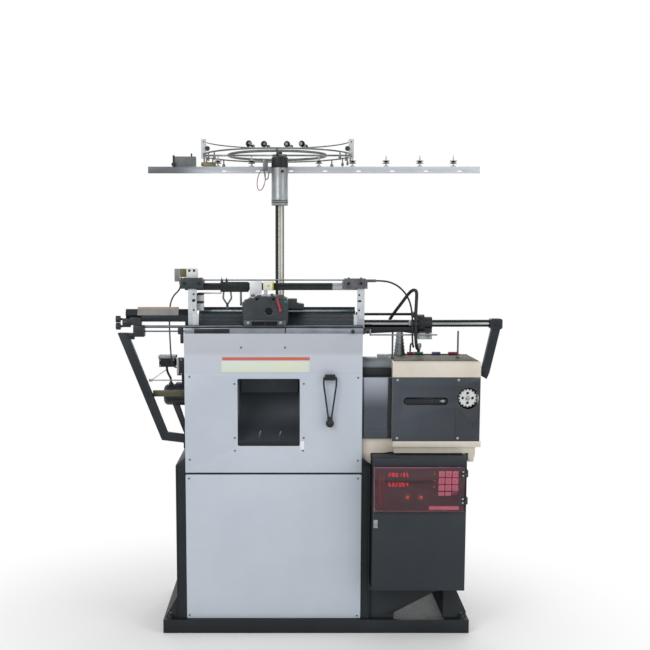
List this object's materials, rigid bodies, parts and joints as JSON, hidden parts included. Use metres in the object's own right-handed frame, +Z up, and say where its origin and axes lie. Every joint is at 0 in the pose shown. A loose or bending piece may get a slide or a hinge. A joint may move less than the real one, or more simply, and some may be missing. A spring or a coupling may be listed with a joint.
{
  "type": "glove knitting machine",
  "caption": "Free-standing flat-bed glove knitting machine with a V needle bed, sliding carriage, yarn ring on a post, drive unit and controller box.",
  "frame": {"origin": "on the floor under the middle of the front covers, in line with their front face", "axes": "+X along the needle bed to the worker's right, +Y away from the worker, +Z up"},
  "size_m": [1.297, 0.682, 1.726],
  "materials": {
    "cover_paint": "satin light grey enamel",
    "black_paint": "satin black enamel",
    "box_paint": "fine textured slate enamel",
    "cream_paint": "satin cream enamel on a casting",
    "slate_paint": "gloss slate enamel",
    "carriage_paint": "satin dark grey enamel on a casting",
    "olive_paint": "satin olive brown enamel",
    "bed_steel": "ground and blackened",
    "silver_steel": "ground",
    "white_steel": "plated and drilled",
    "chrome": "polished",
    "aluminium": "turned",
    "black_plastic": "moulded",
    "grey_plastic": "moulded",
    "white_plastic": "moulded",
    "red_plastic": "moulded",
    "red_acrylic": "clear tinted sheet",
    "keypad_film": "printed film",
    "brass": "turned",
    "roller_rubber": "ground",
    "cable_sheath": "extruded"
  },
  "bodies": {
    "frame": {"arm_bar": "olive_paint", "beam_cover": "cover_paint", "bed_frame": "black_paint", "controller_box": "box_paint", "cover_screws": "silver_steel", "drive_casting": "cream_paint", "drive_cover": "slate_paint", "drive_tube": "chrome", "end_clamp_left": "black_paint", "feeder_cable": "cable_sheath", "feeder_rail": "black_paint", "feeder_rod": "silver_steel", "front_bed": "bed_steel", "front_rail": "silver_steel", "front_rods": "silver_steel", "glove_chute": "black_paint", "handle_block": "black_plastic", "junction_box": "black_plastic", "keypad_panel": "keypad_film", "knitting_body": "black_paint", "left_arm": "black_paint", "left_tray": "black_paint", "link_housing": "slate_paint", "lower_cover": "cover_paint", "motor": "slate_paint", "motor_cable": "cable_sheath", "pedestal": "black_paint", "plinth": "black_paint", "post": "chrome", "post_sleeve": "aluminium", "rail_clamp_left": "carriage_paint", "rail_clamp_right": "carriage_paint", "rear_bed": "bed_steel", "rear_rod": "black_paint", "ribbed_sleeve": "grey_plastic", "right_arm": "black_paint", "sensor_block": "white_plastic", "sensor_cable": "cable_sheath", "shaft_cover": "grey_plastic", "stand_hub": "black_paint", "switch_box": "black_plastic", "trunk_cable": "cable_sheath", "tube_bracket": "black_paint", "upper_cover": "cover_paint", "upright_left": "white_steel", "upright_right": "white_steel", "yarn_rail": "aluminium", "yarn_ring": "silver_steel"},
    "carriage": {"carriage_casting": "carriage_paint", "carrier_driver": "white_steel"},
    "carrier": {"yarn_carrier": "black_paint"},
    "lever": {"stitch_lever": "red_plastic"},
    "start_handle": {"wire_handle": "black_paint"},
    "keypad_cover": {"red_cover": "red_acrylic"},
    "dial_a": {"dial_left": "brass"},
    "dial_b": {"dial_right": "brass"},
    "main_wheel": {"hand_wheel": "white_plastic"},
    "takedown_a": {"drive_roller": "roller_rubber"},
    "takedown_b": {"press_roller": "roller_rubber"},
    "stop_wire": {"stop_arm": "silver_steel"}
  },
  "joints": [
    {"name": "carriage_slide", "type": "slide", "parent": "frame", "child": "carriage", "axis": [1, 0, 0], "range_m": [-0.045, 0.15]},
    {"name": "carrier_slide", "type": "slide", "parent": "frame", "child": "carrier", "axis": [1, 0, 0], "range_m": [-0.045, 0.15]},
    {"name": "stitch_lever_turn", "type": "hinge", "parent": "carriage", "child": "lever", "pos_m": [0.023, 0.003, 1.11], "axis": [0, 1, 0], "range_deg": [-20, 20]},
    {"name": "start_handle_swing", "type": "hinge", "parent": "frame", "child": "start_handle", "pos_m": [0.19, -0.016, 0.887], "axis": [1, 0, 0], "range_deg": [-40, 0]},
    {"name": "red_cover_swing", "type": "hinge", "parent": "frame", "child": "keypad_cover", "pos_m": [0.641, -0.081, 0.516], "axis": [0, 0, 1], "range_deg": [0, 110]},
    {"name": "dial_left_turn", "type": "hinge", "parent": "frame", "child": "dial_a", "pos_m": [0.448, -0.072, 0.492], "axis": [0, 1, 0], "range_deg": [-150, 150]},
    {"name": "dial_right_turn", "type": "hinge", "parent": "frame", "child": "dial_b", "pos_m": [0.492, -0.072, 0.492], "axis": [0, 1, 0], "range_deg": [-150, 150]},
    {"name": "hand_wheel_turn", "type": "hinge", "parent": "frame", "child": "main_wheel", "pos_m": [0.655, 0.1, 0.815], "axis": [0, 1, 0], "continuous": true},
    {"name": "drive_roller_turn", "type": "hinge", "parent": "frame", "child": "takedown_a", "pos_m": [0, 0.1035, 0.925], "axis": [1, 0, 0], "continuous": true},
    {"name": "press_roller_turn", "type": "hinge", "parent": "frame", "child": "takedown_b", "pos_m": [0, 0.1365, 0.925], "axis": [1, 0, 0], "continuous": true},
    {"name": "stop_arm_turn", "type": "hinge", "parent": "frame", "child": "stop_wire", "pos_m": [-0.35, 0.072, 0.868], "axis": [1, 0, 0], "range_deg": [-30, 30]}
  ],
  "couplings": [
    {"joint": "carrier_slide", "follows": "carriage_slide", "ratio": 1},
    {"joint": "press_roller_turn", "follows": "drive_roller_turn", "ratio": -1}
  ]
}
